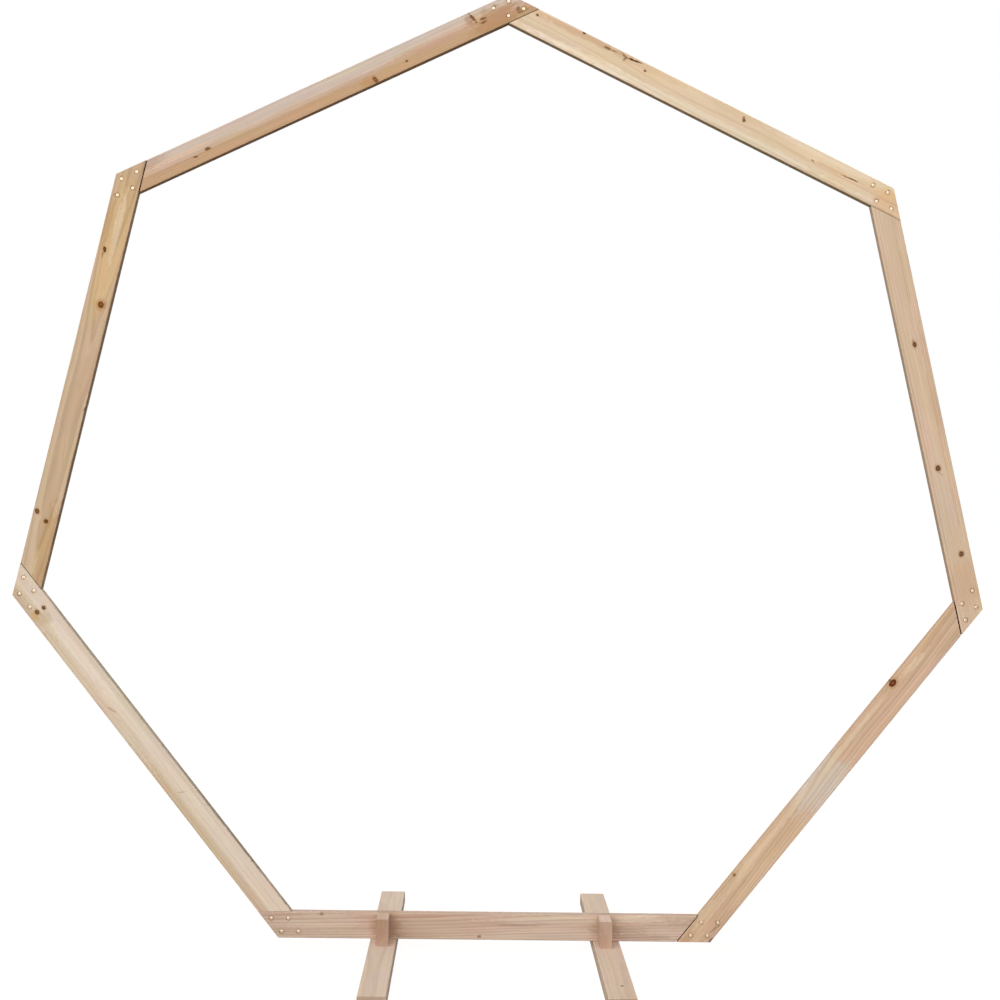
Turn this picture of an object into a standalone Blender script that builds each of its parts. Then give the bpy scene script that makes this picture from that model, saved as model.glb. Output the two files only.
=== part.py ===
# Heptagonal wedding arch: seven half-lapped boards in a flat ring, standing on two feet.
# Metres, +Z up, floor at z = 0. The front faces -Y, and left and right are as seen from the front.
import math

import bmesh
import bpy
from mathutils import Matrix, Vector

# Planed stock that every piece is cut from
STOCK_WIDTH = 0.060
BOARD_THICKNESS = 0.022   # of the ring's seven boards
BASE_THICKNESS = 0.028    # of the feet and blocks
EASED_EDGE = 0.002        # radius of the stock's four long edges
EASE_SEGMENTS = 3

# Seven-sided ring, measured round its outside
SIDES = 7
SIDE_LENGTH = 0.990

# Feet, and the blocks on them that the bottom board is fixed to
FOOT_LENGTH = 0.880
FOOT_SPACING = 0.510      # between the feet's centre lines
BLOCK_LENGTH = 0.060      # front to back
RIGHT_BLOCK_INSET = 0.0055  # the right block stands this far inward of its foot's centre line

# Holes for countersunk wood screws
HEAD_RADIUS = 0.0043
HEAD_RECESS = 0.0014
SHANK_RADIUS = 0.0024
PILOT_RADIUS = 0.0015
LAP_SCREW_LENGTH = 0.019
BLOCK_SCREW_LENGTH = 0.050
FOOT_SCREW_LENGTH = 0.040
BLOCK_SCREW_PITCH = 0.024  # between the two screws of a pair
BORE_SIDES = 14

JOINT_GAP = 0.0003        # between pieces that touch
CUTTER_MARGIN = 0.020     # how far a cutter reaches past the wood

# Each board's name, clockwise from the bottom as seen from the front, with the open seam at
# its front shoulder, where the board before it laps over
FRONT_SEAMS = {
    "bottom_board": 0.0024,
    "lower_left_board": 0.0004,
    "left_side_board": 0.0014,
    "top_left_board": 0.0024,
    "top_right_board": 0.0010,
    "right_side_board": 0.0004,
    "lower_right_board": 0.0030,
}

WOOD_TONES = {
    "bottom_board": (0.53, 0.38, 0.28),
    "lower_left_board": (0.68, 0.56, 0.43),
    "left_side_board": (0.56, 0.41, 0.26),
    "top_left_board": (0.58, 0.44, 0.31),
    "top_right_board": (0.73, 0.56, 0.38),
    "right_side_board": (0.64, 0.48, 0.33),
    "lower_right_board": (0.61, 0.43, 0.28),
    "left_foot": (0.57, 0.41, 0.29),
    "right_foot": (0.55, 0.38, 0.26),
    "left_block": (0.44, 0.28, 0.18),
    "right_block": (0.48, 0.31, 0.20),
}
WOOD_ROUGHNESS = 0.6

STEP = math.tau / SIDES
APOTHEM = SIDE_LENGTH / (2 * math.tan(STEP / 2))
FOOT_TOP = BASE_THICKNESS
RING_CENTRE = FOOT_TOP + JOINT_GAP + APOTHEM
SCREW_OFFSET = STOCK_WIDTH / 4   # of the lap screws, from the centre line of either board
BOARD_FRONT = -BOARD_THICKNESS / 2
BOARD_BACK = BOARD_THICKNESS / 2
BLOCK_BACK = BOARD_FRONT - JOINT_GAP


def clear_scene():
    for old in list(bpy.data.objects):
        bpy.data.objects.remove(old, do_unlink=True)


def new_collection(name):
    made = bpy.data.collections.new(name)
    bpy.context.scene.collection.children.link(made)
    return made


def new_empty(name, location, collection):
    empty = bpy.data.objects.new(name, None)
    empty.location = location
    collection.objects.link(empty)
    return empty


def new_piece(name, mesh, collection, parent=None):
    piece = bpy.data.objects.new(name, mesh)
    piece.parent = parent
    collection.objects.link(piece)
    return piece


def planed_wood(name):
    wood = bpy.data.materials.new(name + "_wood")
    wood.use_nodes = True
    shader = wood.node_tree.nodes["Principled BSDF"]
    shader.inputs["Base Color"].default_value = (*WOOD_TONES[name], 1)
    shader.inputs["Roughness"].default_value = WOOD_ROUGHNESS
    shader.inputs["Metallic"].default_value = 0
    return wood


def mesh_from(bm, name):
    mesh = bpy.data.meshes.new(name)
    bm.to_mesh(mesh)
    bm.free()
    return mesh


def stock_mesh(name, length, thickness):
    """Stock lying along X, on edge: its thickness is along Y and its width along Z."""
    bm = bmesh.new()
    size = Matrix.Diagonal((length, thickness, STOCK_WIDTH, 1))
    bmesh.ops.create_cube(bm, size=1, matrix=size)
    long_edges = [e for e in bm.edges if abs(e.verts[0].co.x - e.verts[1].co.x) > length / 2]
    bmesh.ops.bevel(
        bm,
        geom=long_edges,
        offset=EASED_EDGE,
        segments=EASE_SEGMENTS,
        profile=0.5,
        affect="EDGES",
    )
    return mesh_from(bm, name)


def as_cutter(cutter, matrix):
    cutter.matrix_world = matrix
    cutter.hide_render = True
    cutter.display_type = "WIRE"
    return cutter


def box_cutter(name, size, matrix, collection):
    bm = bmesh.new()
    bmesh.ops.create_cube(bm, size=1, matrix=Matrix.Diagonal((*size, 1)))
    return as_cutter(new_piece(name, mesh_from(bm, name), collection), matrix)


def screw_bore(name, grip, length, matrix, collection):
    """A stepped hole for one screw, turned about its Z, which points out of the hole's mouth.

    The head's recess starts at the surface, at z = 0, the clearance hole runs through the grip,
    and the pilot hole takes the rest of the screw's length.
    """
    profile = (
        (0, CUTTER_MARGIN),
        (HEAD_RADIUS, CUTTER_MARGIN),
        (HEAD_RADIUS, -HEAD_RECESS),
        (SHANK_RADIUS, -HEAD_RECESS),
        (SHANK_RADIUS, -grip),
        (PILOT_RADIUS, -grip),
        (PILOT_RADIUS, -length),
        (0, -length),
    )
    bm = bmesh.new()
    corners = [bm.verts.new((radius, 0, height)) for radius, height in profile]
    for upper, lower in zip(corners, corners[1:]):
        bm.edges.new((upper, lower))
    bore = new_piece(name, mesh_from(bm, name), collection)
    turned = bore.modifiers.new("turned", "SCREW")
    turned.axis = "Z"
    turned.steps = BORE_SIDES
    turned.render_steps = BORE_SIDES
    turned.use_merge_vertices = True
    turned.merge_threshold = 0.00001
    return as_cutter(bore, matrix)


def cut(piece, cutters):
    for cutter in cutters:
        modifier = piece.modifiers.new(cutter.name, "BOOLEAN")
        modifier.operation = "DIFFERENCE"
        modifier.solver = "EXACT"
        modifier.object = cutter


def cut_mesh(name, mesh, cutters, collection):
    """The mesh with the cuts made in it, for a piece that is then placed elsewhere."""
    blank = new_piece(name + "_blank", mesh, collection)
    blank.hide_render = True
    cut(blank, cutters)
    bpy.context.view_layer.update()
    graph = bpy.context.evaluated_depsgraph_get()
    made = bpy.data.meshes.new_from_object(blank.evaluated_get(graph))
    made.name = name
    return made


def corner_point(end, across, inward):
    """Where two lines cross near one end of the board that lies along X.

    end is -1 at the left and 1 at the right. One line runs along the board, across from its centre
    line, and the other along the neighbour, inward from the neighbour's outer edge.
    """
    neighbour_edge = SIDE_LENGTH / 2 + (across + STOCK_WIDTH / 2) / math.tan(STEP)
    return Vector((end * (neighbour_edge - inward / math.sin(STEP)), 0, across))


def past_line(name, end, inward, depth_range, collection):
    """A box that takes all wood past a line along the neighbour, between two depths."""
    side = 4 * STOCK_WIDTH
    front, back = depth_range
    along_neighbour = Matrix.Rotation(end * (math.pi / 2 - STEP), 4, "Y")
    outwards = along_neighbour @ Vector((end, 0, 0))
    centre = corner_point(end, 0, inward) + outwards * side / 2 + Vector((0, (front + back) / 2, 0))
    place = Matrix.Translation(centre) @ along_neighbour
    return box_cutter(name, (side, back - front, side), place, collection)


def lap_bores(end, collection):
    """Four bores driven from the front where two boards cross, a quarter board off their centre lines."""
    facing_front = Matrix.Rotation(math.pi / 2, 4, "X")
    bores = []
    for across in (-SCREW_OFFSET, SCREW_OFFSET):
        for inward in (STOCK_WIDTH / 2 - SCREW_OFFSET, STOCK_WIDTH / 2 + SCREW_OFFSET):
            mouth = corner_point(end, across, inward) + Vector((0, BOARD_FRONT, 0))
            place = Matrix.Translation(mouth) @ facing_front
            name = f"lap_bore_{len(bores)}"
            bores.append(screw_bore(name, BOARD_THICKNESS / 2, LAP_SCREW_LENGTH, place, collection))
    return bores


def block_line(side):
    """The X of a block's centre line."""
    inset = RIGHT_BLOCK_INSET if side > 0 else 0
    return side * (FOOT_SPACING / 2 - inset)


def block_bores(collection):
    """Bores from the back of the bottom board into the blocks, one over the other.

    They are placed for the board that lies along X with its centre on the origin.
    """
    facing_back = Matrix.Rotation(-math.pi / 2, 4, "X")
    bores = []
    for side in (-1, 1):
        for height in (-BLOCK_SCREW_PITCH / 2, BLOCK_SCREW_PITCH / 2):
            mouth = Vector((block_line(side), BOARD_BACK, height))
            place = Matrix.Translation(mouth) @ facing_back
            grip = BOARD_THICKNESS + JOINT_GAP / 2
            bores.append(screw_bore("block_bore", grip, BLOCK_SCREW_LENGTH, place, collection))
    return bores


def foot_bores(collection):
    """Bores from under the feet up into the blocks."""
    facing_down = Matrix.Rotation(math.pi, 4, "X")
    block_middle = BLOCK_BACK - BLOCK_LENGTH / 2
    bores = []
    for side in (-1, 1):
        for shift in (-BLOCK_SCREW_PITCH / 2, BLOCK_SCREW_PITCH / 2):
            place = Matrix.Translation((block_line(side), block_middle + shift, 0)) @ facing_down
            grip = FOOT_TOP + JOINT_GAP / 2
            bores.append(screw_bore("foot_bore", grip, FOOT_SCREW_LENGTH, place, collection))
    return bores


def build_ring(collection, cutters, bottom_bores):
    """Seven boards on one centre, each with the outer edges of its neighbours as its ends.

    At its left end, as it lies at the bottom, a board's front half runs out over the next board,
    and at its right end its back half runs out behind the one before, so that equal boards close
    the ring. The rebates start at the neighbours' inner edges and meet in the middle of the stock.
    """
    reach = STOCK_WIDTH / math.tan(STEP)
    blank_length = SIDE_LENGTH + 2 * (reach + CUTTER_MARGIN)
    outside = BOARD_THICKNESS / 2 + CUTTER_MARGIN
    through = (-outside, outside)
    front_half = (-outside, JOINT_GAP / 2)
    back_half = (-JOINT_GAP / 2, outside)
    shared = [
        past_line("left_end", -1, 0, through, cutters),
        past_line("right_end", 1, 0, through, cutters),
        past_line("back_rebate", -1, STOCK_WIDTH + JOINT_GAP, back_half, cutters),
        *lap_bores(-1, cutters),
        *lap_bores(1, cutters),
    ]
    centre = new_empty("ring_centre", (0, 0, RING_CENTRE), collection)
    for index, (name, seam) in enumerate(FRONT_SEAMS.items()):
        front_rebate = past_line(name + "_rebate", 1, STOCK_WIDTH + seam, front_half, cutters)
        extra = bottom_bores if index == 0 else []
        blank = stock_mesh(name, blank_length, BOARD_THICKNESS)
        mesh = cut_mesh(name, blank, [*shared, front_rebate, *extra], cutters)
        board = new_piece(name, mesh, collection, centre)
        board.rotation_euler = (0, index * STEP, 0)
        board.location = Matrix.Rotation(index * STEP, 3, "Y") @ Vector((0, 0, STOCK_WIDTH / 2 - APOTHEM))
        board.data.materials.append(planed_wood(name))


def build_foot(side, name, collection):
    """Stock laid flat on the floor, from front to back."""
    foot = new_piece(name, stock_mesh(name, FOOT_LENGTH, BASE_THICKNESS), collection)
    foot.location = (side * FOOT_SPACING / 2, 0, BASE_THICKNESS / 2)
    foot.rotation_euler = (math.pi / 2, 0, math.pi / 2)
    foot.data.materials.append(planed_wood(name))
    return foot


def build_block(side, name, collection):
    """An offcut on edge on its foot, end grain to the front, level with the bottom board's top."""
    block = new_piece(name, stock_mesh(name, BLOCK_LENGTH, BASE_THICKNESS), collection)
    block.location = (
        block_line(side),
        BLOCK_BACK - BLOCK_LENGTH / 2,
        FOOT_TOP + JOINT_GAP + STOCK_WIDTH / 2,
    )
    block.rotation_euler = (0, 0, math.pi / 2)
    block.data.materials.append(planed_wood(name))
    return block


def build_arch():
    arch = new_collection("wedding_arch")
    cutters = new_collection("cutters")
    # The block bores are made about the bottom board's own centre, and used again where it stands
    board_bores = block_bores(cutters)
    build_ring(arch, cutters, board_bores)
    board_place = Matrix.Translation((0, 0, FOOT_TOP + JOINT_GAP + STOCK_WIDTH / 2))
    for bore in board_bores:
        bore.matrix_world = board_place @ bore.matrix_world
    upward_bores = foot_bores(cutters)
    for index, (side, side_name) in enumerate(((-1, "left"), (1, "right"))):
        pair = slice(2 * index, 2 * index + 2)
        cut(build_foot(side, side_name + "_foot", arch), upward_bores[pair])
        block = build_block(side, side_name + "_block", arch)
        cut(block, upward_bores[pair] + board_bores[pair])


clear_scene()
build_arch()
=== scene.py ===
import math
import random

import bmesh
import bpy
from mathutils import Euler, Matrix, Vector


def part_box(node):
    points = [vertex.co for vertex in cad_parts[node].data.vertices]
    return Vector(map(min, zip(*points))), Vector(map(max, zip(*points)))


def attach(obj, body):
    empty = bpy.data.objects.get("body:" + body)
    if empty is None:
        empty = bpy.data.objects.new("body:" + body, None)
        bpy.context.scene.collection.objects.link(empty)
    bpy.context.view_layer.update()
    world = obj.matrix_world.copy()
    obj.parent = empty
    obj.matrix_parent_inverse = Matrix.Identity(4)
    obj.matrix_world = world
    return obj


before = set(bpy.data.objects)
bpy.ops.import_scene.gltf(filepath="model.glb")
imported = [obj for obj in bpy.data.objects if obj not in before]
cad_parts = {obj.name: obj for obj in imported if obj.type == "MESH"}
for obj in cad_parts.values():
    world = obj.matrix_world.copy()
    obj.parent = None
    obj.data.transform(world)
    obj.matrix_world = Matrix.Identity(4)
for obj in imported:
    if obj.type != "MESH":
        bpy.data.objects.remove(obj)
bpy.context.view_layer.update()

# Heptagonal wedding arch in planed spruce: seven half-lapped boards, two feet and two blocks.
# Metres, floor at z = 0, front towards -Y. Left and right are as seen from the front.


def linear(hexColour):
    # sRGB hex to the linear colour that the shaders take
    parts = [int(hexColour[i:i + 2], 16) / 255 for i in (1, 3, 5)]
    parts = [p / 12.92 if p <= 0.04045 else ((p + 0.055) / 1.055) ** 2.4 for p in parts]
    return (*parts, 1.0)


def addNode(tree, kind, inputs=None, out=0, **settings):
    # one node with its settings; each input is a value or another node's output
    node = tree.nodes.new("ShaderNode" + kind)
    for key, value in settings.items():
        setattr(node, key, value)
    for key, value in (inputs or {}).items():
        if isinstance(value, bpy.types.NodeSocket):
            tree.links.new(value, node.inputs[key])
        else:
            node.inputs[key].default_value = value
    return node.outputs[out]


# The boards in turn, clockwise from the bottom, and the sizes that the frame gives
boardOrder = (
    "bottom_board",
    "lower_left_board",
    "left_side_board",
    "top_left_board",
    "top_right_board",
    "right_side_board",
    "lower_right_board",
)
railLow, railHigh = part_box("bottom_board")
footLow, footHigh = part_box("left_foot")
stockWidth = footHigh.x - footLow.x
boardThickness = railHigh.y - railLow.y
cornerTurn = math.tau / len(boardOrder)
sideLength = railHigh.x - railLow.x - 2 * stockWidth / math.tan(cornerTurn)
apothem = sideLength / (2 * math.tan(cornerTurn / 2))
ringCentre = Matrix.Translation((0, 0, railLow.z + apothem))


def boardPlace(index):
    # a board's own axes: X along it, Y from front to back, Z from its outer to its inner edge
    turned = Matrix.Rotation(index * cornerTurn, 4, "Y")
    return ringCentre @ turned @ Matrix.Translation((0, 0, stockWidth / 2 - apothem))


def lapSpots():
    # x and z of the four screws at a board's first end, in its own axes: a quarter of a board to
    # each side of the centre lines of the two boards that cross there
    spots = []
    for across in (-stockWidth / 4, stockWidth / 4):
        for inward in (stockWidth / 4, 3 * stockWidth / 4):
            edge = sideLength / 2 + (across + stockWidth / 2) / math.tan(cornerTurn)
            spots.append((inward / math.sin(cornerTurn) - edge, across))
    return spots


def loosePlace(name, turn):
    # the same axes for a foot or a block
    low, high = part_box(name)
    return Matrix.Translation((low + high) / 2) @ Euler(turn).to_matrix().to_4x4()


# What all the spruce shares: lengths in mm, colours in sRGB
spruce = {
    "seedStep": (131, 17, 29),             # sets the pieces apart, so that no two look alike
    "noise": {
        # waves in a mm, along, through and across the board, and detail
        "ragged": ((0.16, 0.16, 0.22), 3),         # uneven outlines of knots and patches
        "cloud": ((0.008, 0.05, 0.05), 2.5),       # slow clouds of tone
        "blotch": ((0.07, 0.2, 0.28), 3),
        "wander": ((1 / 420, 0.011, 0.011), 1.5),  # rings that stray sideways
    },
    "ringWaves": 0.12,                     # wide and narrow years, from the pith outwards
    "ringStray": 4.5,
    "wander": (0, 3.4, 3.4),               # how far the rings stray sideways
    "lateWood": "#BFAB96",                 # what the dense edge of each ring is darkened with
    "lateStops": ((0.1, 0.0), (0.5, 0.12), (0.8, 0.75), (0.9, 1.0)),
    "lateRest": 0.1,
    "heartBlur": 7,                        # half the width over which heartwood turns to sapwood
    "heartStray": 6,
    "bandSize": (600, 5),                  # groups of rings that share a tone
    "bandTone": 0.09,
    "bandLift": 1.03,
    "fibreSize": (42, 0.9),                # real fibres are finer, and are drawn this coarse to show
    "fibreTone": 0.06,
    "cloudTone": (0.03, 0.035, 0.07),
    "patchEdge": (1.35, 0.6),              # where a patch starts and where it is at its full share
    "patchStray": {"cloud": 0.4, "blotch": 0.45},
    "raggedReach": (1.1, 0, 0.8),
    "flowReach": (5.5, 3.2),               # the rings flow round this many knots' lengths and widths
    "flowEdge": (1.0, 0.2),
    "flowSqueeze": -0.8,
    "resin": "#B48254",                    # wood soaked with resin round a knot
    "resinEdge": (2.1, 1.0),
    "resinShare": 0.5,
    "knotMiddle": (0.55, 0.5, 0.45),
    "knotStops": ((0.18, 1.0), (0.42, 0.75), (0.58, 0.95), (0.82, 0.8)),
    "knotRim": (0.45, 0.38, 0.32),
    "knotEdge": (1.12, 0.9),
    "knotShare": 0.97,
    "knotCentre": "#B08868",               # the small paler heart of a knot
    "centreEdge": (0.45, 0.05),
    "centreShare": 0.45,
    "sawnEnd": "#DAD2CD",                  # what cut ends are darkened with
    "endFacing": (0.3, 0.5),               # square of how far a face looks along the board
    "rubbedEdgeAndHighlight": "#E6D6BE",               # painted highlight where the eased edges catch the light, and fibres rubbed paler there
    "edgeFacing": (0.97, 0.7),
    "rubAndHighlightShare": 0.12,
    "screwRingShade": "#6B4A30",               # painted shade round the screw heads, darkest next to them
    "ringShadeReach": (3.5, 7.0),
    "ringShadeStray": 4,
    "ringShadeFacing": -0.9,                   # only the board's front gets the painted shade
    "ringShadeShare": 0.5,
    "seamShade": "#5A3214",                     # painted shade deep in the seams, with some dust and old glue
    "seamShadeDepth": (0.6, 3),                 # from none to the full painted shade, below the board's face
    "seamShadeRun": 12,                         # how far it runs on past the inner corner
    "roughness": 0.72,
    "roughChange": {"late": -0.08, "knot": -0.12, "end": 0.2},
    "ior": 1.5,
    "specular": 0.05,                      # open pores give planed softwood little gloss
    "fibreRelief": 0.035,
    "relief": {"late": 0.05, "knot": -0.12},  # late wood stands up after planing, and knots lie lower
    "bumpStrength": 0.8,
}
mm = 1000                                  # the wood is drawn in mm, and the frame is in metres
farOff = 9000                              # mm, beyond any board

# Each board in its own axes, in mm: x runs along it, and z from its outer edge (-30) to its inner
# edge (30). Heartwood lies within heartRadius of the pith, and sapwood outside it.
# Knots are x, z, half length, half width, turn in degrees and tone, and patches have a share too.
# The seam share is how much painted shade, with some dust and old glue, darkens the seams where the
# board meets its neighbours.
woodLooks = {
    "bottom_board": {
        "sap": "#CDB4A1", "heart": "#C4A996", "pith": (40, 46), "lean": (0.8, -1.1),
        "ring": 5.0, "heartRadius": 74, "late": 0.3, "bands": 1.9, "seed": 11,
        "seamShadeShare": 0.7,
        "knots": [(-36, -22, 4, 2.4, 20, "#A08878"), (-397, 26, 3.6, 2.6, 0, "#A0887C")],
        "patches": [
            (-190, -20, 70, 8, 0, "#B2957F", 0.5),
            (-130, 2, 120, 34, 0, "#C3A792", 0.7),
            (180, 17, 220, 9, 0, "#D2BCA8", 0.75),
            (-390, 8, 90, 24, 0, "#D0BAA6", 0.6),
            (120, -18, 110, 12, 0, "#CFB9A5", 0.6),
            (330, -20, 70, 9, 0, "#AE957F", 0.5),
            (270, 0, 70, 12, 0, "#B59C88", 0.5),
            (330, 20, 100, 9, 0, "#DBC9B3", 0.6),
            # painted shade: the next two patches darken the rail round each block, where the block
            # shades it
            (-251, 0, 34, 38, 0, "#A67F5E", 0.5),
            (254, 0, 34, 38, 0, "#AA8D77", 0.5),
            (60, 4, 60, 2.5, -1, "#B0907A", 0.5),
            (-180, 22, 60, 5, 1, "#BB967E", 0.4),
        ],
    },
    "lower_left_board": {
        "sap": "#DCCAB7", "heart": "#C9B094", "pith": (60, -95), "lean": (-0.2, 0.3),
        "ring": 4.2, "heartRadius": 110, "late": 0.25, "bands": 0.8, "seed": 23,
        "seamShadeShare": 0.7,
        "knots": [(-430, -9, 6, 4.6, 10, "#755836"), (-429, 9, 4.6, 4.2, 0, "#64482A")],
        "patches": [
            (180, -20, 220, 9, 0, "#D2BEA6", 0.5),
            (-60, -8, 430, 5, 0, "#E2D2BA", 0.5),
            (-300, 6, 170, 10, 0, "#EADBC9", 0.7),
            (-210, -20, 210, 11, 0, "#DECDB6", 0.7),
            (-425, -19, 11, 6, 0, "#CDA65A", 0.55),
            (-408, 0, 16, 12, 0, "#B79972", 0.4),
            # painted shade on the inner edge, which faces away from the key light, and on the face
            # beside it
            (0, 31.5, 520, 3.2, 0, "#958771", 0.95),
            (-150, -11, 13, 2.4, 20, "#B48C6A", 0.65),
            (98, 2, 10, 1.6, 60, "#A98870", 0.6),
            (70, -22, 12, 5, 0, "#D9A884", 0.45),
            (40, 9, 300, 8, 0, "#E7D9C5", 0.45),
            (-100, 25, 300, 7, 0, "#D5C4AE", 0.5),
        ],
    },
    "left_side_board": {
        "sap": "#CDB395", "heart": "#C6A98A", "pith": (52, 6), "lean": (0.9, 0.8),
        "ring": 4.6, "heartRadius": 62, "late": 0.32, "bands": 0.9, "seed": 31,
        "seamShadeShare": 0.72,
        "knots": [
            (313, 4.5, 5.2, 4.8, 0, "#683E14"),
            (295, -21, 6.4, 4.4, 40, "#725230"),
            (-197, 8, 7.4, 6.4, 20, "#784614"),
            (-322, -13.5, 6.4, 3.4, 20, "#643D12"),
            (44, 30, 4.4, 2.4, 0, "#98785A"),
        ],
        "patches": [
            (370, 18, 110, 15, 0, "#BF9C72", 0.8),
            (210, -22, 190, 9, 0, "#CBB699", 0.6),
            (-350, 2, 150, 32, 0, "#D6B586", 0.75),
            (-385, 4, 80, 6, 0, "#ECD2B0", 0.9),
            (-390, -21, 70, 8, 0, "#BF9E70", 0.55),
            # painted shade on the inner edge, which faces away from the key light, and on the face
            # beside it
            (0, 31.5, 520, 3.2, 0, "#997B5D", 0.9),
            (150, 6, 55, 1.3, 7, "#A98A68", 0.3),
            (-197, 8, 14, 12, 0, "#B87E3C", 0.4),
            (-310, -15, 9, 2.2, -4, "#84602E", 0.6),
        ],
    },
    "top_left_board": {
        "sap": "#D2C0B1", "heart": "#C8A582", "pith": (40, 84), "lean": (0.0, 0.0),
        "ring": 3.8, "heartRadius": 98, "late": 0.3, "bands": 1.0, "seed": 43,
        "seamShadeShare": 0.75,
        "knots": [(-134, 21, 4.6, 7.5, 15, "#8A5C3A"), (-217, 12.5, 2.8, 2.6, 0, "#825638")],
        "patches": [
            (40, 2, 420, 6, 0, "#D0B49C", 0.7),
            (-330, 0, 160, 9, 0, "#C9A487", 0.8),
            (400, -8, 120, 7, 0, "#E0C2A5", 0.9),
            (-380, -9, 120, 6, 0, "#DEC5AC", 0.7),
            (-116, 19, 16, 9, 0, "#BE9058", 0.55),
            (-440, 6, 60, 22, 0, "#B78A62", 0.6),
            (430, -18, 60, 14, 0, "#BE9C86", 0.6),
            (314, 10, 6, 3, -10, "#6E4628", 1.0),
            (280, 5.5, 6, 3.2, 0, "#7A5232", 0.95),
            (-387, -14, 10, 12, 0, "#A87850", 0.5),
            (-396, -14.5, 13.5, 2.8, 108, "#7A4C2E", 0.9),
            (-408, -10, 7, 9, 0, "#DCC29C", 0.5),
            (-418, -3, 6.5, 2.4, -5, "#7C4C28", 0.9),
            (-415, 5.5, 9, 3.2, 8, "#7F5230", 0.85),
            (-500, 10, 7, 4.6, 60, "#7E5A30", 0.7),
            (-509, 18, 9, 3.4, 0, "#7E5A30", 0.55),
        ],
    },
    "top_right_board": {
        "sap": "#E0C9AA", "heart": "#DCC09B", "pith": (95, -20), "lean": (0.2, 0.55),
        "ring": 4.4, "heartRadius": 104, "late": 0.25, "bands": 0.9, "seed": 59,
        "seamShadeShare": 0.45,
        "knots": [
            (415, -16, 2.8, 2.4, 0, "#74492A"),
            (300, -27.5, 3.4, 2.4, 0, "#6E4A2A"),
            (137, -12.5, 3, 2.3, 0, "#86603E"),
        ],
        "patches": [
            (130, -21, 120, 9, 0, "#D8BA98", 0.6),
            (-60, 20, 400, 8, 0, "#EFDDC5", 0.75),
            (340, -21, 150, 8, 0, "#CEAC8A", 0.75),
            (260, 18, 110, 9, 0, "#F2E2C9", 0.75),
            (-330, -23, 130, 8, 0, "#E6D5BD", 0.65),
            (-400, -1, 110, 7, 0, "#D9BA93", 0.3),
            (-502, 6, 34, 26, 0, "#DDB287", 0.6),
            (169, -23, 24, 1.8, 5.5, "#54301A", 1.0),
            (195, -23, 9, 2.4, -18, "#8A643C", 0.8),
            (191, -15.5, 8, 3.2, 72, "#8A643C", 0.75),
            (238, -20.5, 9, 2.6, 6, "#7E5C36", 0.85),
            (221, -21.3, 6.5, 2, 0, "#8A6A42", 0.7),
            (-117, -14, 3.8, 3.6, 0, "#7A5230", 0.95),
            (-114, -19, 3.4, 2.6, 0, "#8A6238", 0.85),
            (-397, -4, 22, 1.5, 4, "#664830", 0.95),
            (-300, -2.5, 8, 2, -12, "#80582F", 0.7),
            (-345, -4.5, 44, 4.6, 0, "#BF9870", 0.35),
        ],
    },
    "right_side_board": {
        "sap": "#D6BCA1", "heart": "#D0B296", "pith": (30, -84), "lean": (0.2, -0.15),
        "ring": 3.6, "heartRadius": 66, "late": 0.32, "bands": 1.0, "seed": 67,
        "seamShadeShare": 1.0,
        "knots": [
            (133, -2, 6.4, 4.4, 0, "#724A26"),
            (-157, 4, 6.4, 5.6, 0, "#6C4A2E"),
            (-361, -7.5, 6.2, 5.2, -10, "#6E5036"),
        ],
        "patches": [
            (60, -21, 120, 7, 0, "#C8AB8C", 0.5),
            (450, -20, 50, 10, 0, "#CBAE90", 0.5),
            (-270, 8, 110, 22, 0, "#CFB9A4", 0.65),
            (-90, -15, 200, 3, 0, "#C79C7C", 0.45),
            (-430, 0, 50, 40, 0, "#CCAB8A", 0.6),
            (300, -12, 90, 2.6, 0, "#C49E7C", 0.35),
            (141, 0, 6, 1.8, 0, "#8A6040", 0.5),
            (-170, 1, 7, 1.6, 40, "#A07A5C", 0.45),
        ],
    },
    "lower_right_board": {
        "sap": "#D2B298", "heart": "#CCAB8D", "pith": (58, 28), "lean": (0.5, -0.5),
        "ring": 4.0, "heartRadius": 74, "late": 0.32, "bands": 1.0, "seed": 83,
        "seamShadeShare": 1.0,
        "knots": [(231, 23, 9.8, 7.2, 0, "#683312"), (-341, 26, 3.6, 2.8, 10, "#80583A")],
        "patches": [
            (-270, 0, 170, 34, 0, "#D6B998", 0.6),
            (-450, 16, 60, 10, 0, "#DFC5A8", 0.8),
            (300, 12, 40, 6, 0, "#E3CAAE", 0.8),
            (222, 18, 40, 9, 0, "#B08C6C", 0.5),
            (-52, 4, 78, 46, 0, "#D3C2B2", 0.95),
            (-60, 18, 340, 8, 0, "#E0C9AE", 0.55),
            (400, -17, 60, 10, 0, "#BEA185", 0.6),
            (-410, 1, 80, 6, 0, "#C09F82", 0.6),
            (-440, -20, 50, 11, 0, "#BFA286", 0.6),
            (-180, -8, 90, 3, 1, "#CAA680", 0.4),
            (-492, -26.5, 8, 2.6, -5, "#5E4A36", 0.75),
            (-462, -18, 14, 2, -8, "#8D6B4C", 0.6),
        ],
    },
    "left_foot": {
        "sap": "#D7C2AF", "heart": "#D2B9A4", "pith": (-48, -10), "lean": (0.4, 0.5),
        "ring": 3.8, "heartRadius": 60, "late": 0.18, "bands": 0.7, "seed": 97,
        "knots": [(172, -12, 5, 4, 0, "#7A573E")],
        "patches": [], "seamShadeShare": 0,
    },
    "right_foot": {
        "sap": "#D6BFAA", "heart": "#D0B59E", "pith": (-60, 18), "lean": (-0.4, 0.4),
        "ring": 4.0, "heartRadius": 72, "late": 0.18, "bands": 0.7, "seed": 103,
        "knots": [(-350, 6, 3.4, 2.6, 0, "#7A573E")],
        "patches": [], "seamShadeShare": 0,
    },
    "left_block": {
        "sap": "#CDB09B", "heart": "#C8A991", "pith": (46, 20), "lean": (0.2, 0.2),
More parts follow.
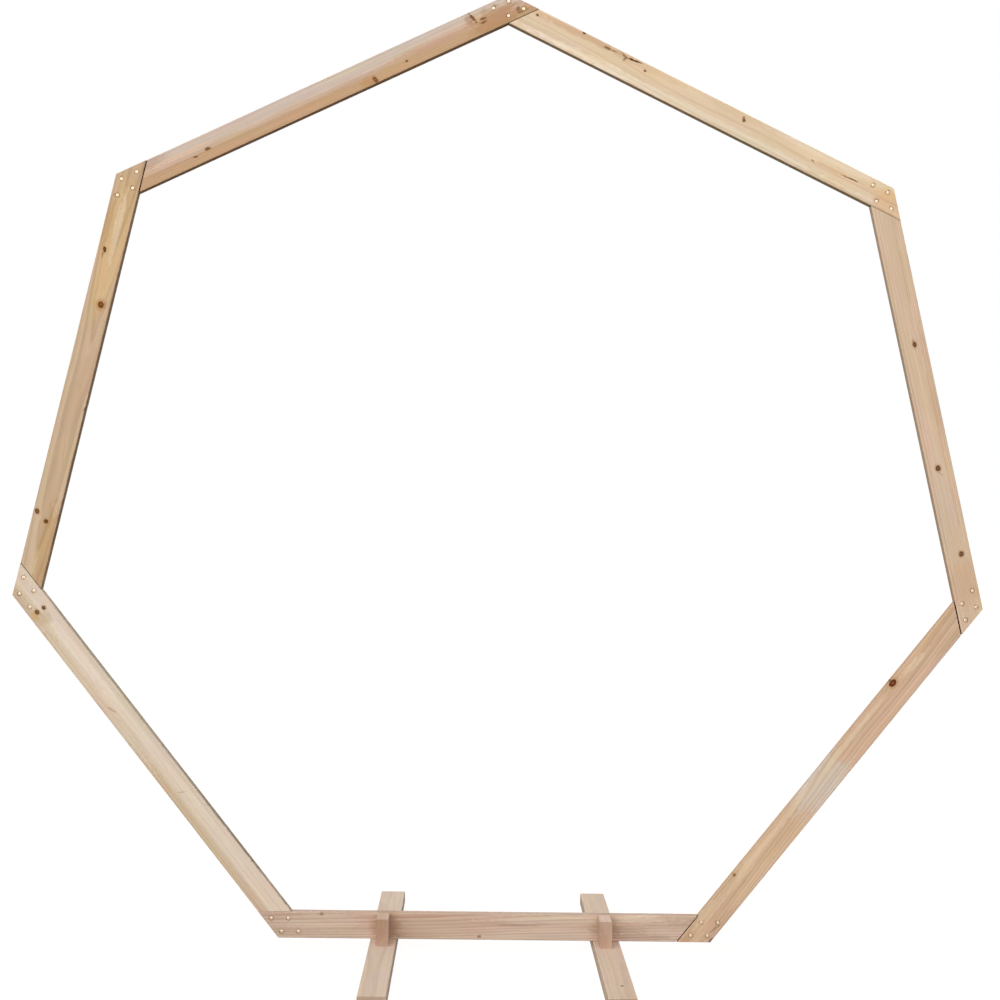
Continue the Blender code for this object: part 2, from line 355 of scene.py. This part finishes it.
        "ring": 3.0, "heartRadius": 52, "late": 0.35, "bands": 1.0, "seed": 109,
        "knots": [], "patches": [], "seamShadeShare": 0,
    },
    "right_block": {
        "sap": "#DABFAB", "heart": "#D2B49F", "pith": (54, -22), "lean": (0.2, 0.2),
        "ring": 3.2, "heartRadius": 62, "late": 0.35, "bands": 1.0, "seed": 113,
        "knots": [], "patches": [], "seamShadeShare": 0,
    },
}


def markRange(tree, spot, x, z, halfLength, halfWidth, turn):
    # how far a point is from a mark that goes right through the board, where 1 is on its rim
    inMark = addNode(tree, "Mapping", {
        "Vector": spot,
        "Location": (x, 0, z),
        "Rotation": (0, -math.radians(turn), 0),
        "Scale": (halfLength, farOff, halfWidth),
    }, vector_type="TEXTURE")
    return addNode(tree, "VectorMath", {0: inMark}, out="Value", operation="LENGTH")


def easedShare(tree, value, edge, share=1.0, curve="SMOOTHSTEP"):
    # rises from 0, where the value is at the first edge, to the share, where it is at the second
    return addNode(tree, "MapRange", {
        "Value": value, "From Min": edge[0], "From Max": edge[1], "To Max": share,
    }, interpolation_type=curve)


def mixed(tree, share, under, over, blend="MIX"):
    return addNode(tree, "Mix", {0: share, 6: under, 7: over}, out=2, data_type="RGBA",
                   blend_type=blend)


def planedSpruce(name, look, place):
    # Planed spruce, bare: pale wood with fine darker ring lines that run along the faces and turn
    # to arcs on the cut ends, brown knots that the rings flow round, and a matt, silky surface
    material = bpy.data.materials.new(name)
    material.use_nodes = True
    tree = material.node_tree
    shader = tree.nodes["Principled BSDF"]
    position = addNode(tree, "TexCoord", out="Object")
    inBoard = addNode(tree, "Mapping", {
        "Vector": position,
        "Location": place.translation,
        "Rotation": place.to_euler(),
    }, vector_type="TEXTURE")
    spot = addNode(tree, "VectorMath", {0: inBoard, "Scale": mm}, operation="SCALE")
    seedShift = [look["seed"] * step for step in spruce["seedStep"]]
    seeded = addNode(tree, "VectorMath", {0: spot, 1: seedShift}, operation="ADD")
    along = addNode(tree, "SeparateXYZ", {0: seeded}, out="X")

    # Signed noise: ragged outlines, slow clouds of tone, blotches, and rings that wander
    noises = {}
    for kind, (waves, detail) in spruce["noise"].items():
        noiseAt = addNode(tree, "VectorMath", {0: seeded, 1: waves}, operation="MULTIPLY")
        noises[kind] = addNode(tree, "TexNoise", {"Vector": noiseAt, "Scale": 1, "Detail": detail},
                               normalize=False).node.outputs
    raggedSpot = addNode(tree, "VectorMath", {
        0: noises["ragged"]["Color"], 1: spruce["raggedReach"], 2: spot,
    }, operation="MULTIPLY_ADD")
    grown = addNode(tree, "VectorMath", {
        0: noises["wander"]["Color"], 1: spruce["wander"], 2: spot,
    }, operation="MULTIPLY_ADD")

    # How near the nearest knot is, and the rings squeezed aside to flow round each knot
    knotRange = markRange(tree, raggedSpot, farOff, 0, 1, 1, 0)
    knotTone = linear("#000000")
    for x, z, halfLength, halfWidth, turn, tone in look["knots"]:
        oneRange = markRange(tree, raggedSpot, x, z, halfLength, halfWidth, turn)
        isNearer = addNode(tree, "Math", {0: oneRange, 1: knotRange}, operation="LESS_THAN")
        knotTone = mixed(tree, isNearer, knotTone, linear(tone))
        knotRange = addNode(tree, "Math", {0: knotRange, 1: oneRange}, operation="MINIMUM")
        flowLength, flowWidth = spruce["flowReach"]
        flowRange = markRange(tree, spot, x, z, flowLength * halfLength, flowWidth * halfWidth, turn)
        flow = easedShare(tree, flowRange, spruce["flowEdge"], spruce["flowSqueeze"])
        fromKnot = addNode(tree, "VectorMath", {0: spot, 1: (0, 0, z)}, operation="SUBTRACT")
        sideways = addNode(tree, "VectorMath", {0: fromKnot, 1: (0, 0, 1)}, operation="MULTIPLY")
        sideways = addNode(tree, "VectorMath", {0: sideways, "Scale": flow}, operation="SCALE")
        grown = addNode(tree, "VectorMath", {0: grown, 1: sideways}, operation="ADD")

    # Growth rings about the heart of the tree, which leans a little from the board's own axis
    pithY, pithZ = look["pith"]
    leanY, leanZ = look["lean"]
    fromPith = addNode(tree, "Mapping", {
        "Vector": grown,
        "Location": (0, pithY, pithZ),
        "Rotation": (0, math.radians(leanZ), math.radians(leanY)),
    }, vector_type="TEXTURE")
    crossGrain = addNode(tree, "VectorMath", {0: fromPith, 1: (0, 1, 1)}, operation="MULTIPLY")
    plainRadius = addNode(tree, "VectorMath", {0: crossGrain}, out="Value", operation="LENGTH")
    unevenAt = addNode(tree, "Math", {0: plainRadius, 1: spruce["ringWaves"]}, operation="MULTIPLY")
    uneven = addNode(tree, "TexNoise", {"W": unevenAt, "Scale": 1, "Detail": 1}, noise_dimensions="1D")
    radius = addNode(tree, "Math", {0: uneven, 1: spruce["ringStray"], 2: plainRadius},
                     operation="MULTIPLY_ADD")
    ringCount = addNode(tree, "Math", {0: radius, 1: look["ring"]}, operation="DIVIDE")
    inRing = addNode(tree, "Math", {0: ringCount}, operation="FRACT")
    lateRamp = addNode(tree, "ValToRGB", {0: inRing})
    shade = lateRamp.node.color_ramp
    shade.interpolation = "EASE"
    for first in shade.elements:
        first.color = (spruce["lateRest"],) * 3 + (1,)
    for stop, level in spruce["lateStops"]:
        shade.elements.new(stop).color = (level, level, level, 1)

    # Tone that changes from one group of rings to the next, and finer fibres
    ringSpot = addNode(tree, "CombineXYZ", {"X": along, "Y": radius})
    bandLength, bandWidth = spruce["bandSize"]
    bandAt = addNode(tree, "VectorMath", {0: ringSpot, 1: (1 / bandLength, 1 / bandWidth, 0)},
                     operation="MULTIPLY")
    band = addNode(tree, "TexNoise", {"Vector": bandAt, "Scale": 1, "Detail": 3, "Roughness": 0.6},
                   normalize=False)
    fibreLength, fibreWidth = spruce["fibreSize"]
    fibreAt = addNode(tree, "VectorMath", {
        0: seeded, 1: (1 / fibreLength, 1 / fibreWidth, 1 / fibreWidth),
    }, operation="MULTIPLY")
    fibre = addNode(tree, "TexNoise", {"Vector": fibreAt, "Scale": 1, "Detail": 3, "Roughness": 0.65},
                    normalize=False)

    # Colour: heartwood and sapwood, patches, bands, rings and fibres
    heartSpot = addNode(tree, "Math", {
        0: noises["cloud"][0], 1: spruce["heartStray"], 2: plainRadius,
    }, operation="MULTIPLY_ADD")
    heartEdge = (look["heartRadius"] + spruce["heartBlur"], look["heartRadius"] - spruce["heartBlur"])
    heartShare = easedShare(tree, heartSpot, heartEdge)
    wood = mixed(tree, heartShare, linear(look["sap"]), linear(look["heart"]))
    for *outline, tint, share in look["patches"]:
        patchRange = markRange(tree, raggedSpot, *outline)
        for kind, stray in spruce["patchStray"].items():
            patchRange = addNode(tree, "Math", {0: noises[kind][0], 1: stray, 2: patchRange},
                                 operation="MULTIPLY_ADD")
        patchShare = easedShare(tree, patchRange, spruce["patchEdge"], share)
        wood = mixed(tree, patchShare, wood, linear(tint))
    hueTone = addNode(tree, "VectorMath", {
        0: noises["cloud"]["Color"], 1: spruce["cloudTone"], 2: (1, 1, 1),
    }, operation="MULTIPLY_ADD")
    wood = addNode(tree, "VectorMath", {0: wood, 1: hueTone}, operation="MULTIPLY")
    bandTone = addNode(tree, "Math", {
        0: band, 1: spruce["bandTone"] * look["bands"], 2: spruce["bandLift"],
    }, operation="MULTIPLY_ADD")
    wood = addNode(tree, "VectorMath", {0: wood, "Scale": bandTone}, operation="SCALE")
    lateShare = addNode(tree, "Math", {0: lateRamp, 1: look["late"]}, operation="MULTIPLY")
    wood = mixed(tree, lateShare, wood, linear(spruce["lateWood"]), "MULTIPLY")
    fibreTone = addNode(tree, "Math", {0: fibre, 1: spruce["fibreTone"], 2: 1.0},
                        operation="MULTIPLY_ADD")
    wood = addNode(tree, "VectorMath", {0: wood, "Scale": fibreTone}, operation="SCALE")

    # Resin round the knots, and the knots, with a dark rim, rings of their own and a paler heart
    resinShare = easedShare(tree, knotRange, spruce["resinEdge"], spruce["resinShare"])
    wood = mixed(tree, resinShare, wood, linear(spruce["resin"]))
    knotRamp = addNode(tree, "ValToRGB", {0: knotRange})
    tones = knotRamp.node.color_ramp
    tones.elements[0].color = (*spruce["knotMiddle"], 1)
    tones.elements[1].color = (*spruce["knotRim"], 1)
    for stop, level in spruce["knotStops"]:
        tones.elements.new(stop).color = (level, level, level, 1)
    knotWood = mixed(tree, 1.0, knotRamp, knotTone, "MULTIPLY")
    centreShare = easedShare(tree, knotRange, spruce["centreEdge"], spruce["centreShare"])
    knotWood = mixed(tree, centreShare, knotWood, linear(spruce["knotCentre"]))
    knotCore = easedShare(tree, knotRange, spruce["knotEdge"], spruce["knotShare"])
    wood = mixed(tree, knotCore, wood, knotWood)

    # Cut ends soak up dirt and look darker, and the eased edges are a little paler: rubbed fibres and a
    # painted highlight
    facing = addNode(tree, "NewGeometry", out="Normal")
    turned = place.to_3x3()
    towards = [
        addNode(tree, "VectorMath", {0: facing, 1: turned @ Vector(axis)}, out="Value",
                operation="DOT_PRODUCT")
        for axis in ((1, 0, 0), (0, 1, 0), (0, 0, 1))
    ]
    square = [addNode(tree, "Math", {0: share, 1: share}, operation="MULTIPLY") for share in towards]
    endShare = easedShare(tree, square[0], spruce["endFacing"], curve="LINEAR")
    flattest = addNode(tree, "Math", {0: square[1], 1: square[2]}, operation="MAXIMUM")
    flattest = addNode(tree, "Math", {0: flattest, 1: square[0]}, operation="MAXIMUM")
    edgeRubAndHighlight = easedShare(tree, flattest, spruce["edgeFacing"], spruce["rubAndHighlightShare"], "LINEAR")
    wood = mixed(tree, endShare, wood, linear(spruce["sawnEnd"]), "MULTIPLY")
    notEnd = addNode(tree, "Math", {0: 1.0, 1: endShare}, operation="SUBTRACT")
    edgeRubAndHighlight = addNode(tree, "Math", {0: edgeRubAndHighlight, 1: notEnd}, operation="MULTIPLY")
    wood = mixed(tree, edgeRubAndHighlight, wood, linear(spruce["rubbedEdgeAndHighlight"]))

    if look["seamShadeShare"]:
        # Painted shade round the lap screws, in front, darkest next to each head
        holeRange = markRange(tree, spot, farOff, 0, 1, 1, 0)
        for x, z in lapSpots():
            oneRange = markRange(tree, spot, mm * x, mm * z, 1, 1, 0)
            holeRange = addNode(tree, "Math", {0: holeRange, 1: oneRange}, operation="MINIMUM")
        holeRange = addNode(tree, "Math", {
            0: noises["blotch"][0], 1: spruce["ringShadeStray"], 2: holeRange,
        }, operation="MULTIPLY_ADD")
        ringShade = easedShare(tree, holeRange, spruce["ringShadeReach"][::-1], spruce["ringShadeShare"])
        inFront = addNode(tree, "Math", {0: towards[1], 1: spruce["ringShadeFacing"]},
                          operation="LESS_THAN")
        ringShade = addNode(tree, "Math", {0: ringShade, 1: inFront}, operation="MULTIPLY")
        wood = mixed(tree, ringShade, wood, linear(spruce["screwRingShade"]))

        # Painted shade, with some dust and old glue, darkens the wood inside the corner joints' seams,
        # more the deeper it lies
        # below the face: on the shoulders, and on the inner edge from where it passes behind or over the
        # next board
        offset = addNode(tree, "VectorMath", {0: spot}, operation="ABSOLUTE")
        fromMiddle = addNode(tree, "SeparateXYZ", {0: offset}).node
        edge = [mm * boardThickness / 2 - below for below in spruce["seamShadeDepth"]]
        depth = easedShare(tree, fromMiddle.outputs["Y"], edge, look["seamShadeShare"], "LINEAR")
        corner = mm * (sideLength / 2 - stockWidth * math.tan(cornerTurn / 2))
        beyond = addNode(tree, "Math", {0: fromMiddle.outputs["X"], 1: corner}, operation="GREATER_THAN")
        onInner = addNode(tree, "Math", {0: towards[2], 1: beyond}, operation="MULTIPLY")
        before = addNode(tree, "Math", {
            0: fromMiddle.outputs["X"], 1: corner + spruce["seamShadeRun"],
        }, operation="LESS_THAN")
        onShoulder = addNode(tree, "Math", {0: endShare, 1: before}, operation="MULTIPLY")
        seamShadeMask = addNode(tree, "Math", {0: onInner, 1: onShoulder}, operation="MAXIMUM")
        seamShadeMask = addNode(tree, "Math", {0: seamShadeMask, 1: depth}, operation="MULTIPLY", use_clamp=True)
        wood = mixed(tree, seamShadeMask, wood, linear(spruce["seamShade"]))
    tree.links.new(wood, shader.inputs["Base Color"])

    # Surface: late wood and knots are harder and shine a little more, and cut ends are rough
    shares = {"late": lateRamp, "knot": knotCore, "end": endShare}
    rough = spruce["roughness"]
    for part, amount in spruce["roughChange"].items():
        rough = addNode(tree, "Math", {0: shares[part], 1: amount, 2: rough},
                        operation="MULTIPLY_ADD")
    tree.links.new(rough, shader.inputs["Roughness"])
    shader.inputs["IOR"].default_value = spruce["ior"]
    shader.inputs["Specular IOR Level"].default_value = spruce["specular"]
    relief = addNode(tree, "Math", {0: fibre, 1: spruce["fibreRelief"]}, operation="MULTIPLY")
    for part, amount in spruce["relief"].items():
        relief = addNode(tree, "Math", {0: shares[part], 1: amount, 2: relief},
                         operation="MULTIPLY_ADD")
    bump = addNode(tree, "Bump", {
        "Height": relief, "Distance": 1 / mm, "Strength": spruce["bumpStrength"],
    })
    tree.links.new(bump, shader.inputs["Normal"])
    return material


# How the boards' meshes are shaded: lengths in m, angles in degrees
shadedEdge = {
    "weld": 0.00001,      # the frame's loose triangles are joined over this distance
    "sharpFrom": 38,      # edges that turn by less, the eased ones, look round
    "flatWeight": 100,    # large flat faces stay flat
}


def easedShading():
    # Joins the frame's loose triangles and shades the eased edges round, with the flat faces flat
    group = bpy.data.node_groups.new("easedShading", "GeometryNodeTree")
    group.interface.new_socket("Geometry", in_out="INPUT", socket_type="NodeSocketGeometry")
    group.interface.new_socket("Geometry", in_out="OUTPUT", socket_type="NodeSocketGeometry")
    start = group.nodes.new("NodeGroupInput")
    end = group.nodes.new("NodeGroupOutput")
    merge = group.nodes.new("GeometryNodeMergeByDistance")
    merge.inputs["Distance"].default_value = shadedEdge["weld"]
    drop = group.nodes.new("GeometryNodeRemoveAttribute")
    drop.inputs["Name"].default_value = "custom_normal"
    roundFaces = group.nodes.new("GeometryNodeSetShadeSmooth")
    roundFaces.inputs["Shade Smooth"].default_value = True
    angle = group.nodes.new("GeometryNodeInputMeshEdgeAngle")
    isSharp = group.nodes.new("FunctionNodeCompare")
    isSharp.inputs[1].default_value = math.radians(shadedEdge["sharpFrom"])
    sharpEdges = group.nodes.new("GeometryNodeSetShadeSmooth")
    sharpEdges.domain = "EDGE"
    sharpEdges.inputs["Shade Smooth"].default_value = False
    group.links.new(start.outputs[0], drop.inputs["Geometry"])
    group.links.new(drop.outputs[0], merge.inputs["Geometry"])
    group.links.new(merge.outputs[0], roundFaces.inputs["Geometry"])
    group.links.new(roundFaces.outputs[0], sharpEdges.inputs["Geometry"])
    group.links.new(angle.outputs["Unsigned Angle"], isSharp.inputs[0])
    group.links.new(isSharp.outputs[0], sharpEdges.inputs["Selection"])
    group.links.new(sharpEdges.outputs[0], end.inputs[0])
    return group


places = {name: boardPlace(index) for index, name in enumerate(boardOrder)}
for side in ("left", "right"):
    places[side + "_foot"] = loosePlace(side + "_foot", (math.pi / 2, 0, math.pi / 2))
    places[side + "_block"] = loosePlace(side + "_block", (0, 0, math.pi / 2))
shading = easedShading()
for name, look in woodLooks.items():
    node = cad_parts[name]
    node.data.materials[0] = planedSpruce("planedSpruce_" + name, look, places[name])
    node.modifiers.new("easedShading", "NODES").node_group = shading
    weighted = node.modifiers.new("flatFaces", "WEIGHTED_NORMAL")
    weighted.keep_sharp = True
    weighted.weight = shadedEdge["flatWeight"]
print("wood:", len(woodLooks), "pieces")


# Countersunk wood screws, 4 mm, with a cross recess, in m
screwShape = {
    "headRadius": 0.0035,
    "headRim": 0.0003,
    "headDepth": 0.0024,
    "dome": 0.00045,
    "domeRings": (0.35, 0.7, 1.0),  # shares of the head's radius
    "neck": 0.0012,                 # plain shank between the head and the thread
    "shankRadius": 0.0019,
    "coreRadius": 0.0013,
    "pitch": 0.0022,
    "crestSharpness": 5,
    "tip": 0.004,
    "pointShare": 0.06,             # how blunt the point is, as a share of the core
    "around": 24,
    "ringsPerTurn": 6,
    "recessReach": 0.0016,
    "recessWidth": 0.0006,
    "recessDepth": 0.0012,
    "recessTop": (1.12, 1.0, 2),    # shares of reach and width, and how many domes high
    "recessFoot": (0.45, 0.6),
    "sharpFrom": 35,                # degrees
    "sunk": 0.0007,                 # the head's rim lies this far below the wood
    "lapClearance": 0.0035,         # the point of a lap screw stops this far from the back
    "blockLength": 0.0495,          # from behind the bottom board into a block
    "footLength": 0.0395,           # from under a foot into a block
    "pairPitch": 0.024,
    "turnSeed": 7,                  # each screw is driven to a different angle
}
zincPlate = {
    "dull": "#C6B098",
    "bright": "#DBC5A9",
    "toneStops": (0.3, 0.7),
    "mottleWaves": 900,             # in a metre
    "roughness": (0.38, 0.54),
    "relief": 0.00002,
    "bumpStrength": 0.5,
}


def brightZinc():
    # Zinc-plated steel, blue-bright: a pale, slightly uneven metal shine
    material = bpy.data.materials.new("brightZincPlatedSteel")
    material.use_nodes = True
    tree = material.node_tree
    shader = tree.nodes["Principled BSDF"]
    shader.inputs["Metallic"].default_value = 1.0
    position = addNode(tree, "TexCoord", out="Object")
    mottle = addNode(tree, "TexNoise", {
        "Vector": position, "Scale": zincPlate["mottleWaves"], "Detail": 3,
    })
    tone = addNode(tree, "ValToRGB", {0: mottle})
    stops = tone.node.color_ramp.elements
    for stop, at, colour in zip(stops, zincPlate["toneStops"], (zincPlate["dull"], zincPlate["bright"])):
        stop.position = at
        stop.color = linear(colour)
    tree.links.new(tone, shader.inputs["Base Color"])
    smoothest, roughest = zincPlate["roughness"]
    rough = addNode(tree, "MapRange", {"Value": mottle, "To Min": smoothest, "To Max": roughest})
    tree.links.new(rough, shader.inputs["Roughness"])
    bump = addNode(tree, "Bump", {
        "Height": mottle, "Distance": zincPlate["relief"], "Strength": zincPlate["bumpStrength"],
    })
    tree.links.new(bump, shader.inputs["Normal"])
    return material


def screwMesh(name, length):
    # The screw stands along Z with its head's rim at z = 0 and its point at z = -length
    shape = screwShape
    around = shape["around"]
    rings = []
    for share in shape["domeRings"]:
        radius = shape["headRadius"] * share
        rings.append((radius, shape["dome"] * (1 - share ** 2), 0))
    rings.append((shape["headRadius"], -shape["headRim"], 0))
    rings.append((shape["shankRadius"], -shape["headDepth"], 0))
    threadTop = -shape["headDepth"] - shape["neck"]
    turns = (length + threadTop) / shape["pitch"]
    steps = int(turns * shape["ringsPerTurn"])
    for step in range(steps + 1):
        height = threadTop - step * (length + threadTop) / steps
        left = length + height
        taper = min(1.0, left / shape["tip"])
        rings.append((shape["coreRadius"] * max(taper, shape["pointShare"]), height, taper))
    bm = bmesh.new()
    loops = []
    for radius, height, thread in rings:
        loop = []
        for i in range(around):
            angle = math.tau * i / around
            reach = radius
            if thread:
                phase = (height / shape["pitch"] + i / around) % 1
                crest = max(0.0, 1 - abs(phase - 0.5) * shape["crestSharpness"])
                reach += crest * (shape["shankRadius"] - shape["coreRadius"]) * thread
            loop.append(bm.verts.new((reach * math.cos(angle), reach * math.sin(angle), height)))
        loops.append(loop)
    for upper, lower in zip(loops, loops[1:]):
        for i in range(around):
            j = (i + 1) % around
            bm.faces.new((upper[i], lower[i], lower[j], upper[j]))
    bm.faces.new(loops[0])
    bm.faces.new(reversed(loops[-1]))
    bmesh.ops.recalc_face_normals(bm, faces=bm.faces)
    mesh = bpy.data.meshes.new(name)
    bm.to_mesh(mesh)
    bm.free()
    return mesh


def recessCutter():
    # Two tapered blades that cross, for the driver's recess
    shape = screwShape
    bm = bmesh.new()
    for turn in (0, math.pi / 2):
        blade = bmesh.ops.create_cube(bm, size=1)["verts"]
        for vert in blade:
            if vert.co.z < 0:
                reachShare, widthShare = shape["recessFoot"]
                height = -shape["recessDepth"]
            else:
                reachShare, widthShare, domes = shape["recessTop"]
                height = shape["dome"] * domes
            reach = shape["recessReach"] * reachShare
            width = shape["recessWidth"] * widthShare
            vert.co = (vert.co.x * 2 * reach, vert.co.y * width, height)
            vert.co.rotate(Euler((0, 0, turn)))
    mesh = bpy.data.meshes.new("recessCutter")
    bm.to_mesh(mesh)
    bm.free()
    return mesh


def finishedScrew(name, length):
    # The plain screw with its recess cut, as one mesh that all screws of that length share
    cutter = bpy.data.objects.new("recessCutter", recessCutter())
    blank = bpy.data.objects.new(name + "Blank", screwMesh(name, length))
    for made in (cutter, blank):
        bpy.context.scene.collection.objects.link(made)
    cut = blank.modifiers.new("recess", "BOOLEAN")
    cut.solver = "EXACT"
    cut.use_self = True
    cut.object = cutter
    bpy.context.view_layer.update()
    mesh = bpy.data.meshes.new_from_object(blank.evaluated_get(bpy.context.evaluated_depsgraph_get()))
    mesh.name = name
    mesh.shade_smooth()
    mesh.set_sharp_from_angle(angle=math.radians(screwShape["sharpFrom"]))
    mesh.materials.append(zinc)
    for made in (cutter, blank):
        bpy.data.objects.remove(made)
    return mesh


def driveScrew(name, mesh, mouth, facing):
    # mouth is the hole's centre on the wood's surface, and facing the way its head looks
    screw = bpy.data.objects.new(name, mesh)
    bpy.context.scene.collection.objects.link(screw)
    turned = facing.to_track_quat("Z", "Y").to_matrix().to_4x4()
    spin = Matrix.Rotation(driven.uniform(0, math.pi / 2), 4, "Z")
    sunk = mouth - facing * screwShape["sunk"]
    screw.matrix_world = Matrix.Translation(sunk) @ turned @ spin
    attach(screw, "root")


# Where the screws go: four in each lap, and pairs from behind the bottom board and from under the
# feet into the blocks
zinc = brightZinc()
driven = random.Random(screwShape["turnSeed"])
lapScrew = finishedScrew("lapScrew", boardThickness - screwShape["lapClearance"])
blockScrew = finishedScrew("blockScrew", screwShape["blockLength"])
footScrew = finishedScrew("footScrew", screwShape["footLength"])
pairHalf = screwShape["pairPitch"] / 2
cornerNames = ("lower_left", "left", "upper_left", "top", "upper_right", "right", "lower_right")
for index, corner in enumerate(cornerNames):
    for number, (x, z) in enumerate(lapSpots(), 1):
        mouth = boardPlace(index) @ Vector((x, -boardThickness / 2, z))
        driveScrew(f"lap_screw_{corner}_{number}", lapScrew, mouth, Vector((0, -1, 0)))
for side in ("left", "right"):
    low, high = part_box(side + "_block")
    middle = (low + high) / 2
    for number, shift in enumerate((-pairHalf, pairHalf), 1):
        behind = Vector((middle.x, boardThickness / 2, middle.z + shift))
        driveScrew(f"{side}_block_screw_{number}", blockScrew, behind, Vector((0, 1, 0)))
        under = Vector((middle.x, middle.y + shift, 0))
        driveScrew(f"{side}_foot_screw_{number}", footScrew, under, Vector((0, 0, -1)))
print("screws:", lapScrew.users + blockScrew.users + footScrew.users)


# A broad key light from the left of the front, low, a level light from straight behind, which only
# the back sees, and an even sky. The floor gives little back, so that edges that face down stay dark
studio = {
    "skyLight": 0.50,
    "lights": {
        # strength, degrees across, degrees to the left of the front, degrees up
        "key": (2.83, 80, 18, 25),
        "back": (1.1, 4, 180, 2),
    },
    "floorTone": "#655A50",  # what the floor gives back to the object
    "floorGlow": 0.94,       # what the camera sees on top of that, so that the floor is white
    "floorReach": 60,        # m
    "floorDrop": 0.0004,     # m, so that the feet's undersides don't flicker
}


def showWhite(tree, plain, glow, out):
    # the camera, gloss and glass see the pale stage, and the object is lit by the plain one
    path = addNode(tree, "LightPath", out="Is Camera Ray")
    seen = addNode(tree, "Math", {0: path, 1: path.node.outputs["Is Glossy Ray"]}, operation="MAXIMUM")
    through = path.node.outputs["Is Transmission Ray"]
    seen = addNode(tree, "Math", {0: seen, 1: through}, operation="MAXIMUM")
    shown = addNode(tree, "MixShader", {0: seen, 1: plain, 2: glow})
    tree.links.new(shown, out)


world = bpy.data.worlds.new("studio")
world.use_nodes = True
bpy.context.scene.world = world
sky = world.node_tree
dim = sky.nodes["Background"]
dim.inputs["Color"].default_value = (1, 1, 1, 1)
dim.inputs["Strength"].default_value = studio["skyLight"]
white = addNode(sky, "Background", {"Color": (1, 1, 1, 1), "Strength": 1.0})
showWhite(sky, dim.outputs[0], white, sky.nodes["World Output"].inputs["Surface"])

floorMesh = bpy.data.meshes.new("floor")
reach = studio["floorReach"]
corners = [(-reach, -reach, 0), (reach, -reach, 0), (reach, reach, 0), (-reach, reach, 0)]
floorMesh.from_pydata(corners, [], [(0, 1, 2, 3)])
floor = bpy.data.objects.new("floor", floorMesh)
floor.location.z = -studio["floorDrop"]
bpy.context.scene.collection.objects.link(floor)
paper = bpy.data.materials.new("whitePaperFloor")
paper.use_nodes = True
sheet = paper.node_tree
plain = sheet.nodes["Principled BSDF"]
plain.inputs["Base Color"].default_value = linear(studio["floorTone"])
plain.inputs["Roughness"].default_value = 1.0
plain.inputs["Specular IOR Level"].default_value = 0.0
glow = addNode(sheet, "Emission", {"Color": (1, 1, 1, 1), "Strength": studio["floorGlow"]})
both = addNode(sheet, "AddShader", {0: plain.outputs[0], 1: glow})
showWhite(sheet, plain.outputs[0], both, sheet.nodes["Material Output"].inputs["Surface"])
floor.data.materials.append(paper)

for name, (strength, softness, leftwards, upwards) in studio["lights"].items():
    light = bpy.data.lights.new(name, "SUN")
    light.energy = strength
    light.angle = math.radians(softness)
    lamp = bpy.data.objects.new(name, light)
    turned = Euler((-math.radians(upwards), 0, -math.radians(leftwards))).to_matrix()
    lamp.rotation_euler = (turned @ Vector((0, -1, 0))).to_track_quat("Z", "Y").to_euler()
    bpy.context.scene.collection.objects.link(lamp)

# The viewpoint: chest height, a little left of the middle, with the picture rolled under a degree
view = {
    "place": (-0.0598, -3.6959, 1.0303),
    "turn": -0.879,          # degrees, positive to the left
    "tilt": 0.094,
    "roll": -0.856,
    "focalPixels": 1608.4,
    "framePixels": 1000,
    "sensor": 36.0,          # mm
    "clipEnd": 200,          # m, past the floor's far edge
}
camera = bpy.data.cameras.new("camera")
camera.sensor_width = view["sensor"]
camera.lens = view["sensor"] * view["focalPixels"] / view["framePixels"]
camera.clip_end = view["clipEnd"]
shooter = bpy.data.objects.new("camera", camera)
looking = (Matrix.Rotation(math.radians(view["turn"]), 4, "Z")
           @ Matrix.Rotation(math.radians(view["tilt"]), 4, "X")
           @ Matrix.Rotation(math.radians(view["roll"]), 4, "Y")
           @ Matrix.Rotation(math.pi / 2, 4, "X"))
shooter.matrix_world = Matrix.Translation(view["place"]) @ looking
bpy.context.scene.collection.objects.link(shooter)
bpy.context.scene.camera = shooter
bpy.context.scene.view_settings.view_transform = "Standard"
print("stage: floor, lights, camera")
